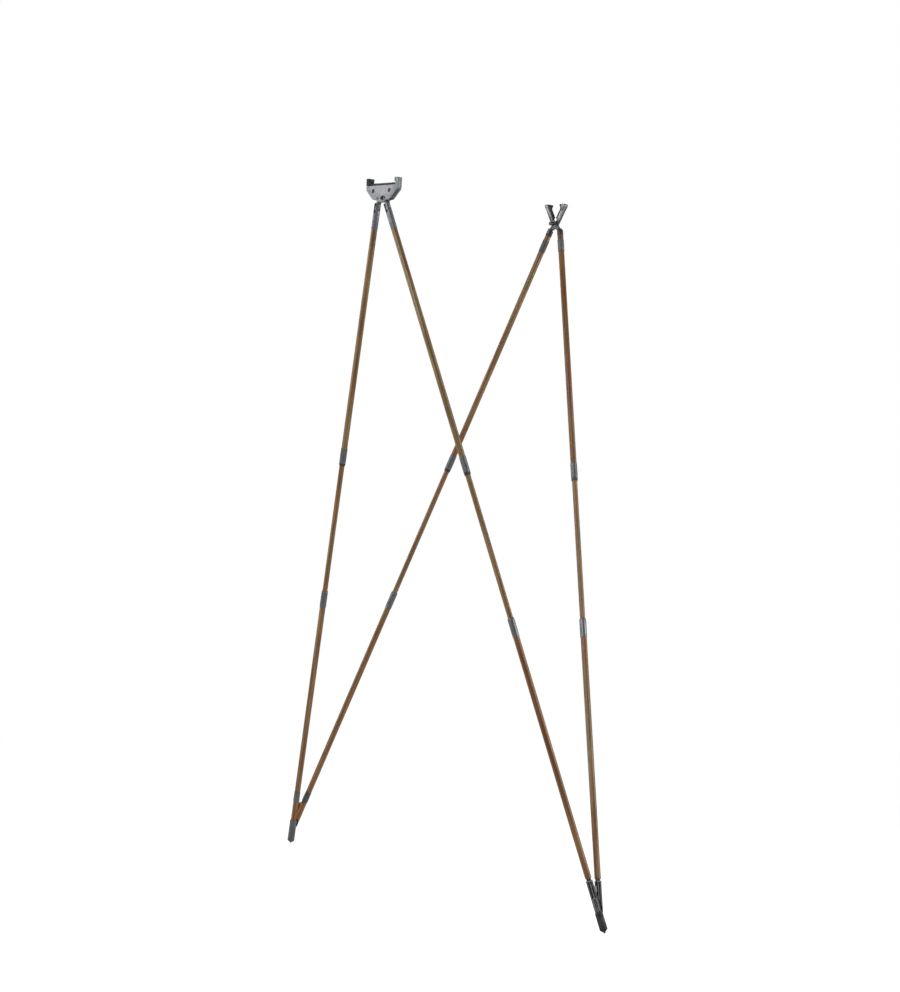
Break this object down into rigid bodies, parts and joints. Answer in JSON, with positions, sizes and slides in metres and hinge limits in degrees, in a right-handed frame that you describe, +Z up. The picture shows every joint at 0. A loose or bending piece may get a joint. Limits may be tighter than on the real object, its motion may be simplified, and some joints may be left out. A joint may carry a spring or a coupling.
{
  "type": "crossed-leg field rest",
  "caption": "Folding field rest with wood-finished telescoping legs joined in pairs at pointed feet, a forked front cradle and a scissor rear cradle.",
  "frame": {"origin": "on the ground, midway between the feet and midway between the front and rear ends", "axes": "+Z up, +X to the rest's right foot, front fork towards -Y"},
  "size_m": [1.061, 0.5062, 1.498],
  "materials": {
    "pale_metal": "bead-blasted anodised",
    "grey_metal": "satin grey",
    "black_metal": "satin black",
    "steel": "turned",
    "black_plastic": "moulded",
    "rubber": "matte",
    "boot_rubber": "worn matte",
    "wood": "streaked brown under gloss lacquer"
  },
  "bodies": {
    "head": {"fork_front_plate": "pale_metal", "fork_rear_plate": "pale_metal", "fork_left_arm": "grey_metal", "fork_right_arm": "grey_metal", "fork_pads": "rubber", "fork_screws": "black_metal", "fork_bolts": "steel"},
    "left_knuckle": {"left_front_knuckle": "grey_metal"},
    "left_front_upper": {"left_front_ferrule": "grey_metal", "left_front_tilt_pin": "steel", "left_front_upper_tube": "wood", "left_front_upper_collar": "grey_metal"},
    "left_front_ring": {"left_front_lock_ring": "black_plastic"},
    "left_front_lower": {"left_front_middle_tube": "wood", "left_front_lower_collar": "grey_metal", "left_front_lower_tube": "wood", "left_front_band": "grey_metal", "left_front_stub": "wood", "left_boot": "boot_rubber", "left_hinge_pin": "steel"},
    "left_rear_lower": {"left_rear_stub": "wood", "left_hinge_tongue": "wood", "left_rear_band": "grey_metal", "left_rear_lower_tube": "wood", "left_rear_lower_collar": "grey_metal", "left_rear_middle_tube": "wood"},
    "left_rear_upper": {"left_rear_upper_collar": "grey_metal", "left_rear_upper_tube": "wood", "left_rear_top_band": "grey_metal", "left_rear_clevis": "black_plastic", "left_rear_tilt_pin": "steel"},
    "left_rear_ring": {"left_rear_lock_ring": "black_plastic"},
    "left_rear_arm": {"left_rear_arm": "black_metal", "left_horn_pad": "rubber"},
    "right_knuckle": {"right_front_knuckle": "grey_metal"},
    "right_front_upper": {"right_front_ferrule": "grey_metal", "right_front_tilt_pin": "steel", "right_front_upper_tube": "wood", "right_front_upper_collar": "grey_metal"},
    "right_front_ring": {"right_front_lock_ring": "black_plastic"},
    "right_front_lower": {"right_front_middle_tube": "wood", "right_front_lower_collar": "grey_metal", "right_front_lower_tube": "wood", "right_front_socket": "black_plastic", "right_boot": "boot_rubber", "right_hinge_pin": "steel"},
    "right_rear_lower": {"right_rear_socket": "black_plastic", "right_rear_lower_tube": "wood", "right_rear_lower_collar": "grey_metal", "right_rear_middle_tube": "wood"},
    "right_rear_upper": {"right_rear_upper_collar": "grey_metal", "right_rear_upper_tube": "wood", "right_rear_top_band": "grey_metal", "right_rear_clevis": "black_plastic", "right_rear_tilt_pin": "steel"},
    "right_rear_ring": {"right_rear_lock_ring": "black_plastic"},
    "right_rear_arm": {"right_rear_arm": "black_metal", "right_horn_pad": "rubber", "cross_pin": "steel"}
  },
  "joints": [
    {"name": "left_spread", "type": "hinge", "parent": "head", "child": "left_knuckle", "pos_m": [-0.0105, -0.245, 1.45359], "axis": [0, -1, 0], "range_deg": [0, 19]},
    {"name": "left_front_tilt", "type": "hinge", "parent": "left_knuckle", "child": "left_front_upper", "pos_m": [-0.01851, -0.245, 1.43097], "axis": [-0.9426, 0, 0.3338], "range_deg": [0, 8.75]},
    {"name": "left_front_slide", "type": "slide", "parent": "left_front_upper", "child": "left_front_lower", "axis": [0.329, -0.1688, 0.9291], "range_m": [0, 0.28]},
    {"name": "left_front_lock", "type": "hinge", "parent": "left_front_upper", "child": "left_front_ring", "pos_m": [-0.20835, -0.14757, 0.89487], "axis": [0.329, -0.1688, 0.9291], "range_deg": [0, 90]},
    {"name": "left_foot_hinge", "type": "hinge", "parent": "left_front_lower", "child": "left_rear_lower", "pos_m": [-0.49591, 0, 0.08283], "axis": [0.9426, 0, -0.3338], "range_deg": [0, 17.5]},
    {"name": "left_rear_slide", "type": "slide", "parent": "left_rear_lower", "child": "left_rear_upper", "axis": [-0.3297, -0.1566, -0.931], "range_m": [0, 0.28]},
    {"name": "left_rear_lock", "type": "hinge", "parent": "left_rear_upper", "child": "left_rear_ring", "pos_m": [-0.20874, 0.15464, 0.89377], "axis": [0.3297, 0.1566, 0.931], "range_deg": [0, 90]},
    {"name": "left_rear_tilt", "type": "hinge", "parent": "left_rear_upper", "child": "left_rear_arm", "pos_m": [-0.01851, 0.245, 1.43097], "axis": [-0.9426, 0, 0.3338], "range_deg": [0, 8.75]},
    {"name": "right_spread", "type": "hinge", "parent": "head", "child": "right_knuckle", "pos_m": [0.0105, -0.245, 1.45359], "axis": [0, 1, 0], "range_deg": [0, 19]},
    {"name": "right_front_tilt", "type": "hinge", "parent": "right_knuckle", "child": "right_front_upper", "pos_m": [0.01851, -0.245, 1.43097], "axis": [-0.9426, 0, -0.3338], "range_deg": [0, 8.75]},
    {"name": "right_front_slide", "type": "slide", "parent": "right_front_upper", "child": "right_front_lower", "axis": [-0.329, -0.1688, 0.9291], "range_m": [0, 0.28]},
    {"name": "right_front_lock", "type": "hinge", "parent": "right_front_upper", "child": "right_front_ring", "pos_m": [0.20835, -0.14757, 0.89487], "axis": [-0.329, -0.1688, 0.9291], "range_deg": [0, 90]},
    {"name": "right_foot_hinge", "type": "hinge", "parent": "right_front_lower", "child": "right_rear_lower", "pos_m": [0.49591, 0, 0.08283], "axis": [0.9426, 0, 0.3338], "range_deg": [0, 17.5]},
    {"name": "right_rear_slide", "type": "slide", "parent": "right_rear_lower", "child": "right_rear_upper", "axis": [0.3297, -0.1566, -0.931], "range_m": [0, 0.28]},
    {"name": "right_rear_lock", "type": "hinge", "parent": "right_rear_upper", "child": "right_rear_ring", "pos_m": [0.20874, 0.15464, 0.89377], "axis": [-0.3297, 0.1566, 0.931], "range_deg": [0, 90]},
    {"name": "right_rear_tilt", "type": "hinge", "parent": "right_rear_upper", "child": "right_rear_arm", "pos_m": [0.01851, 0.245, 1.43097], "axis": [-0.9426, 0, -0.3338], "range_deg": [0, 8.75]}
  ],
  "couplings": [
    {"joint": "right_spread", "follows": "left_spread", "ratio": 1},
    {"joint": "left_front_tilt", "follows": "left_foot_hinge", "ratio": 0.5},
    {"joint": "left_rear_tilt", "follows": "left_foot_hinge", "ratio": 0.5},
    {"joint": "right_foot_hinge", "follows": "left_foot_hinge", "ratio": 1},
    {"joint": "right_front_tilt", "follows": "left_foot_hinge", "ratio": 0.5},
    {"joint": "right_rear_tilt", "follows": "left_foot_hinge", "ratio": 0.5},
    {"joint": "left_rear_slide", "follows": "left_front_slide", "ratio": 1},
    {"joint": "right_front_slide", "follows": "left_front_slide", "ratio": 1},
    {"joint": "right_rear_slide", "follows": "left_front_slide", "ratio": 1}
  ]
}
